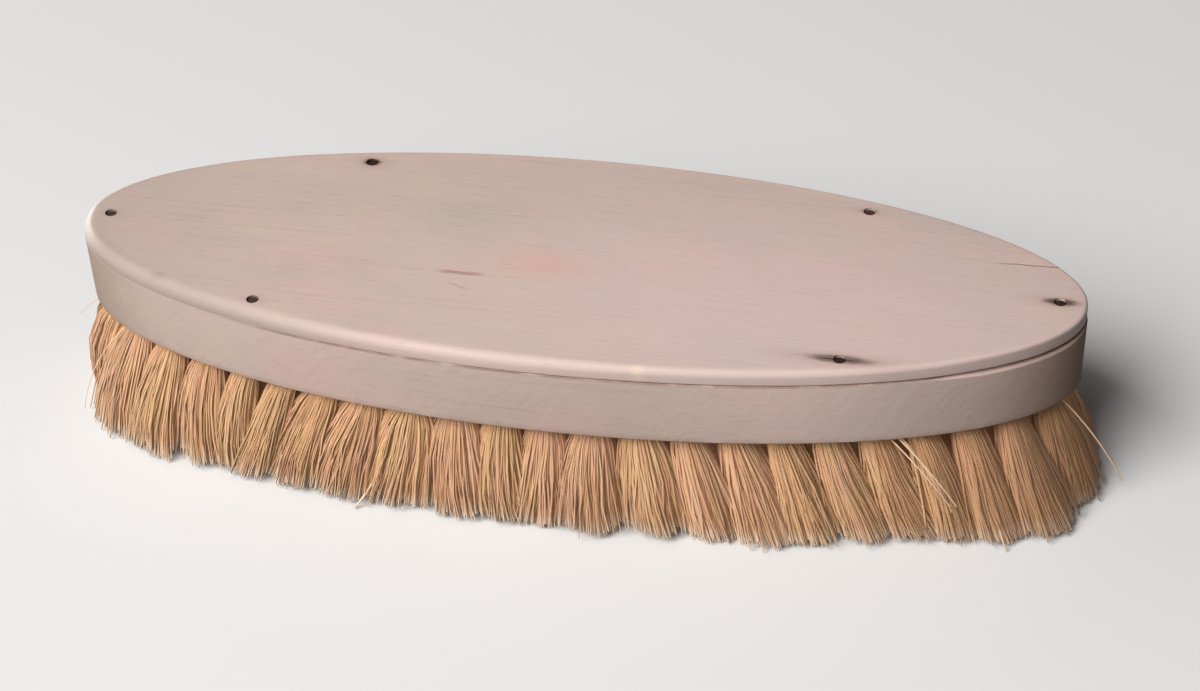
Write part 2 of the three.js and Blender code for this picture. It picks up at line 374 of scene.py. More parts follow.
def straight_mark(place, start, end, width):
    """1 along a thin straight line on the cover, fading to 0 at its sides and ends."""
    start, end = Vector((*start, 0.0)), Vector((*end, 0.0))
    run = (end - start).normalized()
    aside = Vector((-run.y, run.x, 0.0))
    wander = (place.noise((6.0, 6.0, 6.0)) - 0.5) * 1.2
    offset = place - tuple((start + end) / 2)
    along = place.math("DOT_PRODUCT", offset, tuple(run))
    across = place.math("DOT_PRODUCT", offset, tuple(aside)) + wander
    reach = (end - start).length / 2
    ends = 1.0 - along.math("ABSOLUTE", along).between(reach * 0.4, reach)
    return ends * (1.0 - across.math("ABSOLUTE", across).between(width * 0.2, width))


# The colours of both boards' bleached wood, of its dirt, of the marks on the cover, and of the
# painted highlights and shade.
bleached = (0.595, 0.455, 0.395)
bleached_pink = (0.670, 0.445, 0.400)
bleached_grey = (0.500, 0.425, 0.365)
bleached_yellow = (0.610, 0.490, 0.380)
bleached_bright = (0.740, 0.570, 0.500)
end_grey = (0.440, 0.365, 0.310)
side_olive = (0.300, 0.230, 0.160)
edge_grey = (0.420, 0.325, 0.280)
grain_and_shade_brown = (0.330, 0.205, 0.150)
stain_black = (0.065, 0.022, 0.014)
scratch_red = (0.420, 0.190, 0.130)
crack_brown = (0.240, 0.140, 0.095)
highlight_white = (0.940, 0.880, 0.810)
pale_face_pink = (0.725, 0.545, 0.500)
rubbed_orange = (0.700, 0.440, 0.350)
damp_green = (0.430, 0.400, 0.300)
spot_grey = (0.330, 0.275, 0.235)
nick_yellow = (0.830, 0.690, 0.510)
stain_and_shade_black = (0.050, 0.019, 0.012)

nail_stains = {  # how far along the grain and across it, in millimetres, and how strong
    "nail_right_end": (5.0, 1.8, 0.8),
    "nail_back_right": (2.6, 1.4, 0.5),
    "nail_back_left": (2.8, 1.9, 0.95),
    "nail_left_end": (1.7, 1.3, 0.7),
    "nail_front_left": (1.7, 1.3, 0.6),
    "nail_front_right": (10.0, 1.9, 0.68),
}
no_split = (1.5 * MM, 1.5 * MM, 0)  # what darkens round a nail that hasn't split the wood
face_marks = [  # the middle and the reach in millimetres, how ragged, the colour, how strong
    ((-6.0, -3.5), (16.0, 7.5), 0.9, rubbed_orange, 0.65),
    ((-24.0, 9.5), (16.0, 8.0), 0.9, damp_green, 0.35),
    ((-78.8, -18.0), (2.6, 1.7), 0.6, spot_grey, 0.45),
    ((18.9, -31.2), (2.0, 1.4), 0.5, nick_yellow, 0.5),
]


def bleached_grain(place):
    """The colour, the lines and the pores of bleached wood, with its grain along the brush."""
    blotches = place.noise((26.0, 17.0, 17.0), detail=3.0)
    tints = (place + 60.0).noise((18.0, 11.0, 11.0), detail=3.0)
    lines = place.noise((60.0, 0.9, 0.9), detail=4.0, roughness=0.6)
    pores = place.noise((3.5, 0.16, 0.16))
    x, z = axis(place, 0), axis(place, 2)
    left_end = 1.0 - x.between(-100.0, -60.0)
    far_left = 1.0 - x.between(-101.0, -78.0)
    low_side = 1.0 - z.between(cover_top / MM - 4.0, cover_top / MM - 0.5)
    colour = place.plain(bleached).coated(
        (bleached_pink, blotches.between(0.48, 0.7) * 0.55),
        (bleached_yellow, tints.between(0.5, 0.72) * 0.5),
        (bleached_grey, (1.0 - tints).between(0.52, 0.75) * 0.45),
        (grain_and_shade_brown, lines.between(0.52, 0.8) * 0.2),
        (grain_and_shade_brown, pores.between(0.66, 0.8) * 0.28),
        (end_grey, left_end * 0.5),
        (side_olive, far_left * low_side * 0.6),
    )
    return colour, lines, pores


def cover_material():
    material, shader, place = new_material("bleached wood of the cover", Specular_IOR_Level=0.3)
    colour, lines, pores = bleached_grain(place)
    x, y, z = [axis(place, index) for index in range(3)]

    # Hands have polished the edge at the front, which also carries a painted highlight, and its
    # left is greyer. A painted highlight runs along the back arris, and the face is paler toward
    # the front right.
    edge = 1.0 - patch(place, (0.0, 0.0), (half_length / MM, half_width / MM), hard=0.93)
    at_back = y.between(-12.0, 2.0)
    polish_and_painted_highlight = edge * x.between(-75.0, -20.0) * (1.0 - x.between(50.0, 80.0))
    grey_left_edge = edge * (1.0 - x.between(-75.0, -10.0)) * (1.0 - at_back)
    painted_back_highlight = at_back * (1.0 - z.between(cover_top / MM - 0.25, cover_top / MM))
    paler_front_right = patch(place, (42.0, -14.0), (120.0, 52.0))
    colour = colour.coated(
        (bleached_bright, polish_and_painted_highlight * 0.4),
        (edge_grey, grey_left_edge * 0.8),
        (highlight_white, painted_back_highlight),
        (pale_face_pink, paler_front_right * 0.7),
    )

    # Each nail has stained the wood round it. Its dent and split are painted black, partly stain
    # and partly painted shade in the hollow.
    sunk = 1.0 - z.between(cover_top / MM - 0.2, cover_top / MM - 0.03)
    for name, (length, width, strength) in nail_stains.items():
        centre = tuple(nail_places[name] / MM)
        halo = patch(place, centre, (length * 2.2, width * 1.8), ragged=0.4)
        stain = patch(place, centre, (length, width), ragged=0.35)
        reach, split_width, _ = splits.get(name, no_split)
        pit = patch(place, centre, (reach * 1.3 / MM, split_width * 1.1 / MM), hard=0.8)
        colour = colour.coated(
            (grain_and_shade_brown, halo * 0.35 * strength),
            (stain_black, stain.between(0.0, 0.7) * strength),
            (stain_and_shade_black, pit * sunk * strength),
        )

    scratches = either(
        straight_mark(place, (-25.5, -8.4), (-14.5, -8.2), 0.8),
        straight_mark(place, (-22.5, -11.6), (-17.0, -13.2), 0.6) * 0.4,
    )
    marks = [
        (mark_colour, patch(place, middle, reach, ragged) * strength)
        for middle, reach, ragged, mark_colour, strength in face_marks
    ]
    crack = straight_mark(place, (80.0, 10.3), (98.0, 10.9), 0.35)
    colour = colour.coated((scratch_red, scratches * 0.6), *marks, (crack_brown, crack * 0.35))

    height = lines * 0.6 - pores.between(0.6, 0.8) * 0.5
    height = height + place.noise((14.0, 9.0, 9.0)) * 2.0 - scratches * 1.5 - crack * 2.0
    roughness = 0.5 + place.noise((9.0, 5.0, 5.0)) * 0.25 - polish_and_painted_highlight * 0.1
    dress(shader, place, colour, roughness, height, 0.06 * MM)
    return material


cover.data.materials.clear()
cover.data.materials.append(cover_material())
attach(cover, "root")
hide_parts("cover_board")

# ---- The nails ----
# Six small iron wire nails with flat round heads, driven by hand a little below the cover's face.
# The bleach has rusted them nearly black.

nail_sides = 24
nail_point_length = 1.8 * MM
dome = 0.06 * MM  # how far the head's middle stands above its rim
nail_unevenness = 0.12 * MM
rust_brown = (0.060, 0.032, 0.024)
rust_red = (0.110, 0.042, 0.024)
rust_speck = (0.160, 0.100, 0.070)
rust_black = (0.030, 0.010, 0.006)
blackest_nails = ["nail_front_right", "nail_right_end", "nail_back_left"]


def nail_profile():
    """Heights and radii, from the point up."""
    shank_end = nail_bottom + nail_point_length
    under_head = nail_top - nail_head_thickness
    return [
        (nail_bottom, 0.04 * MM),
        (nail_bottom + 0.35 * nail_point_length, 0.3 * MM),
        (shank_end, nail_shank_radius),
        ((shank_end + under_head) / 2, nail_shank_radius),
        (under_head - 0.1 * MM, nail_shank_radius),
        (under_head, nail_head_radius * 0.9),
        (under_head + 0.12 * MM, nail_head_radius),
        (nail_top - 0.2 * MM, nail_head_radius),
        (nail_top - dome, nail_head_radius * 0.88),
        (nail_top - 0.3 * dome, nail_head_radius * 0.5),
        (nail_top, nail_head_radius * 0.12),
    ]


def add_geometry_tree(name, inputs):
    """A Geometry Nodes tree with named inputs, and the links to its geometry and its inputs."""
    tree = bpy.data.node_groups.new(name, "GeometryNodeTree")
    tree.interface.new_socket("Geometry", in_out="INPUT", socket_type="NodeSocketGeometry")
    tree.interface.new_socket("Geometry", in_out="OUTPUT", socket_type="NodeSocketGeometry")
    for label, kind in inputs.items():
        tree.interface.new_socket(label, in_out="INPUT", socket_type="NodeSocket" + kind)
    group = tree.nodes.new("NodeGroupInput")
    return tree, {socket.name: Link(tree, socket) for socket in group.outputs if socket.name}


def end_tree(geometry, material):
    """Ends a tree with real geometry that has its material."""
    real = geometry.node("GeometryNodeRealizeInstances", {}, geometry)
    smooth = geometry.node("GeometryNodeSetShadeSmooth", {}, real)
    dressed = geometry.node("GeometryNodeSetMaterial", {}, smooth, Material=material)
    output = geometry.tree.nodes.new("NodeGroupOutput")
    geometry.tree.links.new(dressed.socket, output.inputs[0])


def add_tree(piece, tree, values):
    """Puts a tree on a piece, and sets the tree's inputs from values by their names."""
    modifier = piece.modifiers.new(tree.name, "NODES")
    modifier.node_group = tree
    for item in tree.interface.items_tree:
        if item.in_out == "INPUT" and item.name in values:
            modifier[item.identifier] = values[item.name]


def rust_material():
    material, shader, place = new_material("rusted iron", Specular_IOR_Level=0.25, Metallic=0.1)
    lumps = place.noise((0.5, 0.5, 0.5), detail=4.0)
    specks = (place + 7.0).noise((0.18, 0.18, 0.18), detail=3.0)
    blackest = [tuple(nail_places[name] / MM) for name in blackest_nails]
    blackened = either(*[patch(place, centre, (3.0, 3.0), hard=0.9) for centre in blackest])
    colour = place.plain(rust_brown).coated(
        (rust_red, lumps.between(0.45, 0.7) * 0.8),
        (rust_speck, specks.between(0.62, 0.8) * 0.25),
        (rust_black, blackened * 0.8),
    )
    dress(shader, place, colour, 0.55 + lumps * 0.4, lumps + specks * 0.4, 0.05 * MM)
    return material


rust = rust_material()
swept_inputs = {"Sides": "Int", "Place": "Vector", "Unevenness": "Float", "Seed": "Float"}
swept_tree, swept = add_geometry_tree("Swept line", swept_inputs | {"Material": "Material"})
shaft = swept["Geometry"]
shaft = shaft.node("GeometryNodeMeshToCurve", {}, shaft)
girth = shaft.node("GeometryNodeInputNamedAttribute", {}, "girth")
section = shaft.node("GeometryNodeCurvePrimitiveCircle", {}, swept["Sides"], Radius=1.0)
forged = shaft.node("GeometryNodeCurveToMesh", {}, shaft, section, girth, True)
spot = shaft.node("GeometryNodeInputPosition", {})
dented = (spot / MM + swept["Seed"]).noise((0.9, 0.9, 0.9), output="Color") - 0.5
offset = swept["Place"] + dented * swept["Unevenness"]
moved = forged.node("GeometryNodeSetPosition", {}, forged, Offset=offset)
end_tree(moved, swept["Material"])


def give(mesh, name, kind, values):
    """Gives the points of a mesh an attribute, from one value for each of them."""
    field = "vector" if kind == "FLOAT_VECTOR" else "value"
    mesh.attributes.new(name, kind, "POINT").data.foreach_set(field, np.ravel(values).tolist())


def add_lines(name, lines):
    """Lines of points, each with its girth: the mesh that the tree sweeps a round section along."""
    points, steps, girths = [], [], []
    for line in lines:
        steps += [(len(points) + i, len(points) + i + 1) for i in range(len(line) - 1)]
        points += [point for point, _ in line]
        girths += [girth for _, girth in line]
    mesh = bpy.data.meshes.new(name)
    mesh.from_pydata(points, steps, [])
    give(mesh, "girth", "FLOAT", girths)
    return add_object(name, mesh)


for number, name in enumerate(nail_names):
    shape = [((0, 0, height), radius) for height, radius in nail_profile()]
    nail = add_lines(f"rusty_{name}", [shape])
    nail_inputs = {
        "Sides": nail_sides,
        "Place": (*nail_places[name], 0.0),
        "Unevenness": nail_unevenness,
        "Seed": number * 5.0,
        "Material": rust,
    }
    add_tree(nail, swept_tree, nail_inputs)
    applied(nail)
    smoothed(nail)
    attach(nail, "root")
    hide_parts(name)

# ---- The stock ----
# The thick lower board. It is bored from below for the tufts and drilled through with finer holes
# for the wires, which lie in a recess on its back. Its sawn side is only roughly smoothed.

stock_low, stock_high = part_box("bristle_stock")
slice_thickness = 2 * MM  # the lowest slice of this board, which the tufts' solids hold
underside = stock_low.z - slice_thickness
set_back = 0.02 * MM  # of the stock's side from the outline, and of its back from the cover
stock_top = stock_high.z - set_back
stock_lower_radius = 0.5 * MM
lower_corner = (set_back + stock_lower_radius, underside + stock_lower_radius)
recess_rim = 2.3 * MM
recess_depth = 1.2 * MM

rim_top = stock_top - joint_gap
stock_rings = [
    oval_ring(stock_lower_radius + shading_margin, underside),
    *around(stock_lower_radius, *lower_corner, -90, 0),
    *around(arris, set_back + arris, rim_top - arris, 0, 90),
    oval_ring(set_back + arris + shading_margin, rim_top),
    oval_ring(recess_rim, stock_top),
]
recess_rings = [
    oval_ring(recess_rim, stock_top - recess_depth),
    oval_ring(recess_rim, stock_top + overcut),
]

row_inset = 6.2 * MM  # from the outline to the middle of the outer row
row_spacing = 10.4 * MM
tuft_pitch = 8.9 * MM
outer_count = 46
second_count = 38
columns_abreast = 5
single_tufts = 3
bore_radius = 3 * MM
bore_depth = 8 * MM
wire_hole_radius = 1.5 * MM
bore_sides = 20
wire_hole_sides = 12
saw_slant = (0.8, 0.6)  # the cosine and the sine of the saw marks' slant on the side


def oval_row(row, count):
    """Tufts at even steps round an oval, with none on the long axis."""
    sweep = np.linspace(0, 2 * math.pi, 20001)
    x = (half_length - row_inset - row * row_spacing) * np.cos(sweep)
    y = (half_width - row_inset - row * row_spacing) * np.sin(sweep)
    travelled = np.concatenate([[0], np.cumsum(np.hypot(np.diff(x), np.diff(y)))])
    steps = (np.arange(count) + 0.5) / count * travelled[-1]
    return np.stack([np.interp(steps, travelled, x), np.interp(steps, travelled, y)], axis=1)


def middle_row(side):
    """A row beside the long axis, which starts on the axis where the oval leaves less room."""
    abreast = np.arange(-columns_abreast, columns_abreast + 1) * tuft_pitch
    single = abreast[0] - math.sqrt(tuft_pitch**2 - (row_spacing / 2) ** 2)
    single = single - np.arange(single_tufts)[::-1] * tuft_pitch
    x = np.concatenate([single, abreast])
    y = np.concatenate([np.zeros(single_tufts), np.full(len(abreast), row_spacing / 2)])
    return side * np.stack([x, y], axis=1)


tuft_rows = [oval_row(0, outer_count), oval_row(1, second_count), middle_row(1), middle_row(-1)]


def prism_rows(radius, low, high, sides):
    """The rings of a round hole over every tuft."""
    return [
        [round_ring(place, radius, low, sides), round_ring(place, radius, high, sides)]
        for row in tuft_rows
        for place in row
    ]


stock = loft("bristle_stock_bored", [stock_rings])
bore_foot = underside + bore_depth
bores = prism_rows(bore_radius, underside - overcut, bore_foot, bore_sides)
cut(stock, loft("bores", bores))
wire_hole_ends = (bore_foot - overcut, stock_top + overcut)
wire_holes = prism_rows(wire_hole_radius, *wire_hole_ends, wire_hole_sides)
cut(stock, loft("holes", wire_holes))
cut(stock, loft("recess", [recess_rings]))
cut(stock, loft("dents", [nail_dent(name) for name in nail_names]))


def stock_material():
    material, shader, place = new_material("bleached wood of the stock", Specular_IOR_Level=0.15)
    colour, lines, pores = bleached_grain(place)
    x, y, z = [axis(place, index) for index in range(3)]

    # The saw has left slanting marks, dirt sits in the joint, and the foot of the side is darker.
    # The side is paler at the front right, and painted shade darkens its right end.
    run, rise = saw_slant
    slanting = place.node("ShaderNodeCombineXYZ", {}, x * run - z * rise, x * rise + z * run, y)
    saw_marks = slanting.noise((1.7, 9.0, 30.0), detail=4.0)
    darker_foot = 1.0 - z.between(underside / MM, underside / MM + 2.0)
    in_joint = z.between(stock_top / MM - 0.6, stock_top / MM - 0.25)
    high_dirt = in_joint * x.between(-75.0, -45.0)
    patchy = place.noise((5.0, 3.0, 3.0), detail=3.0)
    joint_dirt_and_darker_foot = either(darker_foot * 0.5, high_dirt) * patchy.between(0.15, 0.6)
    colour = colour.coated(
        (bleached_bright, saw_marks.between(0.55, 0.8) * 0.18),
        (grain_and_shade_brown, (1.0 - saw_marks).between(0.58, 0.8) * 0.1),
        (bleached_bright, patch(place, (48.0, -28.0), (34.0, 14.0)) * 0.5),
        # Painted shade toward the right end of the side.
        (grain_and_shade_brown, x.between(78.0, 100.0) * 0.65),
        (crack_brown, joint_dirt_and_darker_foot * 0.75),
    )
    height = lines * 0.5 + saw_marks * 0.8 - pores.between(0.6, 0.8) * 0.4
    dress(shader, place, colour, 0.72 + patchy * 0.2, height, 0.08 * MM)
    return material


stock.data.materials.clear()
stock.data.materials.append(stock_material())
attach(stock, "root")
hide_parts("bristle_stock")

# ---- The drawing wires ----
# One brass wire for each row of tufts runs along the stock's back and dips down every hole, where
# its loop holds a tuft by the fold. The wires have dulled under the cover.

brass_yellow = (0.500, 0.360, 0.130)
brass_brown = (0.200, 0.120, 0.050)


def wire_material():
    material, shader, place = new_material("dull brass wire", Metallic=1.0)
    tarnish = place.noise((3.0, 3.0, 3.0), detail=4.0)
    colour = place.plain(brass_yellow).coated((brass_brown, tarnish.between(0.4, 0.7) * 0.8))
    dress(shader, place, colour, 0.3 + tarnish * 0.35, tarnish, 0.02 * MM)
    return material


brass = wire_material()
for name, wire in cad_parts.items():
    if name.startswith("drawing_wire"):
        for material_slot in wire.material_slots:
            material_slot.material = brass

# ---- The tufts ----
# Stiff straw-coloured plant fibre, a few hundred to a tuft, doubled over and pulled tight into the
# bore. Each tuft swells as it leaves the wood, leans outward and is cut off level at the tips.

outer_fibres = 680  # in each tuft
outer_fibre_width = 0.34 * MM
outer_rings = 6
inner_fibres = 200
inner_fibre_width = 0.42 * MM
inner_rings = 5
row_leans = [4.2 * MM, 2.5 * MM, 1 * MM, 1 * MM]  # outward, at the tips, halfway along the brush
row_bows = [1.8 * MM, 0.6 * MM, 0, 0]  # outward, halfway down
splay = 1.2  # where the oval turns toward its ends, the tufts lean out further by this share
tips_aside = 8.3 * MM  # use has pushed the tips toward both ends, by this much at most
# Stretches of the brush, each by its middle and its reach in millimetres, and a share: where use
# has pushed the tips aside, and where the tufts lean or bow further or less than the others.
aside_stretches = [(52, 33, 1.0), (-42, 19, -0.95), (-88, 9, -0.2)]
lean_stretches = [
    (-93, 7, -0.35),
    (-78, 7, 0.1),
    (-50, 12, -0.2),
    (9, 7, 0.3),
    (60, 14, -0.25),
    (90, 5, 0.25),
]
bow_stretches = [(-97, 9, 0.5), (72, 45, -0.65), (96, 12, -0.5)]

saw_line = 2.5 * tuft_pitch  # the tufts' solids meet halfway between two columns
golden_angle = 2.39996  # in radians
bundling = 2.2  # how far a fibre shades as part of its tuft, beside as a fibre of its own
strand_cells = 1.5  # strands in half a tuft's width
lock_cells = 3.4
ripple_grain = (0.8, 0.8, 1.0)  # in a tuft's section, and down the fibres
crinkle_grain = (0.18, 0.18, 0.42)
point_spacing = 1.35  # above 1, the points of a fibre lie closer together near the wood
fibre_taper = 0.2  # how much thinner a fibre's tip is, as a share
thinnest_fibre = 0.8  # as a share of the fibre width
girth_spread = 0.45

tufts_seed = 4
tuft_sizes = {  # the tree's inputs that all tufts share
    "Sides": 3,  # of a fibre
    "Underside": underside,
    "Root Depth": 2.6 * MM,  # in the bore, where the part of a fibre that is made here starts
    "Root Radius": 2.5 * MM,  # of the tuft in the bore
    "Depth": 4.3 * MM,  # half the thickness of the tuft's tips, from the front to the back
    "Clumping": 0.12,  # how far the fibres gather in strands
    "Locks": 0.15,  # and in finer ones toward the tips
    "Core Fill": 1.2,  # how much thicker the fibres inside the tuft are, as a share
    "Looseness": 3.0 * MM,  # how far single fibres stray
    "Waviness": 3.2 * MM,
    "Crinkle": 2.6 * MM,
    "Raggedness": 2.2 * MM,  # how much shorter the shortest fibres are
    "Seed": tufts_seed,
}

# How much one tuft differs from another, in millimetres along the brush and across it.
lean_spread = (1.3, 0.6)
bow_spread = (0.5, 0.3)
room_spread = 0.12  # as a share
lowest_tips = 0.25  # above the floor
tips_spread = 0.4

straw_tan = (0.795, 0.435, 0.228)
straw_pink = (0.795, 0.420, 0.275)
straw_yellow = (0.800, 0.500, 0.230)
straw_pale = (0.960, 0.740, 0.480)
straw_dark = (0.600, 0.320, 0.140)
straw_fleck = (0.660, 0.370, 0.180)
straw_brown = (0.480, 0.240, 0.120)
root_brown = (0.400, 0.210, 0.090)
shade_brown = (0.130, 0.060, 0.028)
tip_pale = (0.940, 0.750, 0.570)
black = (0.0, 0.0, 0.0)


def fibre_material():
    material, shader, place = new_material("plant fibre", IOR=1.5, Emission_Strength=0.07)

    def attribute(name, output="Fac"):
        return place.node("ShaderNodeAttribute", {"attribute_name": name}, output=output)

    # Each tuft has its tint and each fibre its tone, with pale tips. Their darker roots are painted
    # shade.
    tone, tint, reach = attribute("tone"), attribute("tint"), attribute("reach")
    patches = place.noise((3.2, 3.2, 9.0))
    fleck = place.noise((0.35, 0.35, 2.5))
    # Painted shade: the tufts darken toward the right end.
    painted_shade_right = axis(place, 0).between(15.0, 100.0)
    # Painted shade on the roots tucked in behind the others and in the inner rows.
    painted_shade_behind = attribute("tucked_in") * (1.0 - reach.between(0.3, 0.85))
    colour = place.plain(straw_tan).coated(
        (straw_pink, (patches + tint * 0.12).between(0.48, 0.7) * 0.5),
        (straw_yellow, (1.0 - patches - tint * 0.12).between(0.48, 0.7) * 0.5),
        (straw_pale, tone.between(0.6, 0.95) * 0.28),
        (straw_dark, (1.0 - tone).between(0.8, 0.97) * 0.25),
        (straw_fleck, fleck.between(0.5, 0.75) * 0.2),
        (root_brown, (1.0 - reach.between(0.05, 0.35)) * 0.5),
        (straw_brown, painted_shade_right * 0.5),
        (shade_brown, painted_shade_behind * 0.65),
        (tip_pale, reach.between(0.88, 1.0) * (0.65 - painted_shade_right * 0.25)),
    )

    # A faint painted glow in the fibres' own colour lightens the shade between them, as light
    # passing through from their neighbours would, but none inside the bore.
    painted_glow = colour.coated((black, 1.0 - reach.between(0.1, 0.5)))
    place.tree.links.new(painted_glow.socket, shader.inputs["Emission Color"])
    own_normal = place.node("ShaderNodeNewGeometry", {}, output="Normal")
    facing = attribute("facing", "Vector")
    soft_normal = place.math("NORMALIZE", own_normal + facing * bundling)
    dress(shader, place, colour, 0.5 + fleck * 0.3, fleck, 0.02 * MM, Normal=soft_normal)
    return material


straw = fibre_material()
tuft_inputs = {"Fibre Width": "Float", "Rings": "Int", "Swelling Rate": "Float"}
for label, value in tuft_sizes.items():
    tuft_inputs[label] = "Int" if isinstance(value, int) else "Float"
fibre_tree, given = add_geometry_tree("Tuft of plant fibre", tuft_inputs)
tufts = given["Geometry"]


def named(name, data_type="FLOAT"):
    """An attribute of the points."""
    return tufts.node("GeometryNodeInputNamedAttribute", {"data_type": data_type}, name)


def store(geometry, name, value, data_type="FLOAT"):
    """Keeps a value at each point as an attribute."""
    kind = "GeometryNodeStoreNamedAttribute"
    settings = {"data_type": data_type, "domain": "POINT"}
    return geometry.node(kind, settings, geometry, Name=name, Value=value)


def draw(identity, seed):
    """A random number from 0 to 1 for each fibre."""
    kind, settings = "FunctionNodeRandomValue", {"data_type": "FLOAT"}
    return tufts.node(kind, settings, 0.0, 1.0, identity, given["Seed"] + seed)


def gathered(spot, cells, amount):
    """A spot in a tuft's section, drawn toward the middle of its cell."""
    place = spot * cells
    centre = place.node("ShaderNodeTexVoronoi", {}, Vector=place, Scale=1.0, output="Position")
    return spot + (centre / cells - spot) * amount


def wandered(name):
    """From a draw, a share from -1 to 1 that leaves most fibres near their place."""
    share = named(name) * 2.0 - 1.0
    return share * 0.3 + share * share * share * 0.7


# One point for each fibre, spread over its tuft as seeds are in a sunflower's head.
tufts = store(tufts, "middle", tufts.node("GeometryNodeInputPosition", {}), "FLOAT_VECTOR")
fibres_in_tuft = named("fibres", "INT")
each = {"domain": "POINT"}
points = tufts.node("GeometryNodeDuplicateElements", each, tufts, Amount=fibres_in_tuft)
order = points.beside("Duplicate Index")
golden_turn = order * golden_angle + named("number") * 1.7
from_middle = ((order + 0.5) / fibres_in_tuft) ** 0.5
spot = tufts.node(
    "ShaderNodeCombineXYZ",
    {},
    from_middle * tufts.math("COSINE", golden_turn),
    from_middle * tufts.math("SINE", golden_turn),
    named("number") * 3.1,
)
points = store(points, "spot", spot, "FLOAT_VECTOR")
points = store(points, "in_core", 1.0 - from_middle.between(0.6, 0.9))

# Painted shade: behind the fibres that face outward, and in the inner rows, the roots are darker.
behind = (axis(spot, 0) ** 2.0 * 0.6 - axis(spot, 1)).between(0.0, 0.9)
points = store(points, "tucked_in", either(behind, named("inner")))

# The way that a fibre faces as part of its tuft, for the shading.
sideways = named("along", "FLOAT_VECTOR") * axis(spot, 0)
forward = named("out", "FLOAT_VECTOR") * (axis(spot, 1) + 0.5)
facing = tufts.math("NORMALIZE", sideways * 0.6 + forward + (0.0, 0.0, 0.15))
points = store(points, "facing", facing, "FLOAT_VECTOR")
identity = tufts.node("GeometryNodeInputIndex", {})
draw_names = ["tone", "length_draw", "aside_draw", "outward_draw"]
for number, name in enumerate(draw_names, 1):
    points = store(points, name, draw(identity, number))

# A line of a few points for each fibre, bent to its place.
line = tufts.node("GeometryNodeMeshLine", {}, given["Rings"])
lines = points.node("GeometryNodeInstanceOnPoints", {}, points, Instance=line)
lines = points.node("GeometryNodeRealizeInstances", {}, lines)
curves = points.node("GeometryNodeMeshToCurve", {}, lines)
factor = tufts.node("GeometryNodeSplineParameter", {})
curves = store(curves, "reach", factor)

short = named("length_draw") ** 3.0
uneven = named("spot", "FLOAT_VECTOR").noise((0.3, 0.3, 1.0)).between(0.4, 0.7)
tip_height = named("raise") + (short * 0.6 + uneven * 0.6) * given["Raggedness"]
top_height = given["Underside"] + given["Root Depth"]
height = top_height + (tip_height - top_height) * factor**point_spacing
fallen = (given["Underside"] - height) / given["Underside"]
fallen = fallen.math("MAXIMUM", fallen, 0.0)

held_spot = gathered(named("spot", "FLOAT_VECTOR"), strand_cells, given["Clumping"] * fallen)
held_spot = gathered(held_spot, lock_cells, given["Locks"] * fallen**2.0)
swelling = 1.0 - tufts.math("EXPONENT", fallen * given["Swelling Rate"] * -1.0)
width = given["Root Radius"] + (named("room") - given["Root Radius"]) * swelling
depth = given["Root Radius"] + (given["Depth"] - given["Root Radius"]) * swelling

sway_place = held_spot + (0.0, 0.0, 1.0) * fallen * 1.2
ripple = (sway_place.noise(ripple_grain, output="Color") - 0.5) * given["Waviness"]
crinkle = (sway_place.noise(crinkle_grain, output="Color") - 0.5) * given["Crinkle"]
loose = fallen * given["Looseness"]
aside = axis(held_spot, 0) * width + wandered("aside_draw") * loose
outward = axis(held_spot, 1) * depth + wandered("outward_draw") * loose * 0.3
bow = fallen * (1.0 - fallen) * 4.0
place = (
    named("middle", "FLOAT_VECTOR")
    + named("lean", "FLOAT_VECTOR") * fallen
    + named("bow", "FLOAT_VECTOR") * bow
    + named("along", "FLOAT_VECTOR") * aside
    + named("out", "FLOAT_VECTOR") * outward
    + ripple * fallen
    + crinkle * bow
)
bent = tufts.node("ShaderNodeCombineXYZ", {}, axis(place, 0), axis(place, 1), height)
curves = curves.node("GeometryNodeSetPosition", {}, curves, Position=bent)
girth = given["Fibre Width"] / 2.0 * (1.0 - fibre_taper * factor**3.0)
girth = girth * (thinnest_fibre + girth_spread * named("tone"))
girth = girth * (1.0 + given["Core Fill"] * named("in_core") * (1.0 - factor**4.0))
section = tufts.node("GeometryNodeCurvePrimitiveCircle", {}, given["Sides"], Radius=1.0)
fibres = curves.node("GeometryNodeCurveToMesh", {}, curves, section, girth, True)
end_tree(fibres, straw)


def outward_at(x, y):
    """The way straight out through the side of the oval."""
    return Vector((x / half_length**2, y / half_width**2, 0)).normalized()


def shared(x, stretches):
    """The sum of the shares of the stretches that a place along the brush lies in."""
    return sum(
        share * math.exp(-(((x - middle * MM) / (reach * MM)) ** 4))
        for middle, reach, share in stretches
    )


def tip_of_tuft(row, x, y):
    """Where use has left the middle of a tuft's tips."""
    outward = outward_at(x, y)
    turning = 1 + splay * (2 * outward.x * outward.y) ** 2
    stretched = shared(x, lean_stretches) if y < 0 else 0
    lean = outward * row_leans[row] * turning * (1 + stretched)
    return Vector((x + lean.x + tips_aside * shared(x, aside_stretches), y + lean.y, 0))


def rooms_of_row(row):
    """Half the way between the neighbours of each tuft, at the tips."""
    tips = [tip_of_tuft(row, x, y) for x, y in tuft_rows[row]]
    nearby = [sorted((tip - other).length for other in tips)[1:3] for tip in tips]
    return [sum(distances) / 4 for distances in nearby]


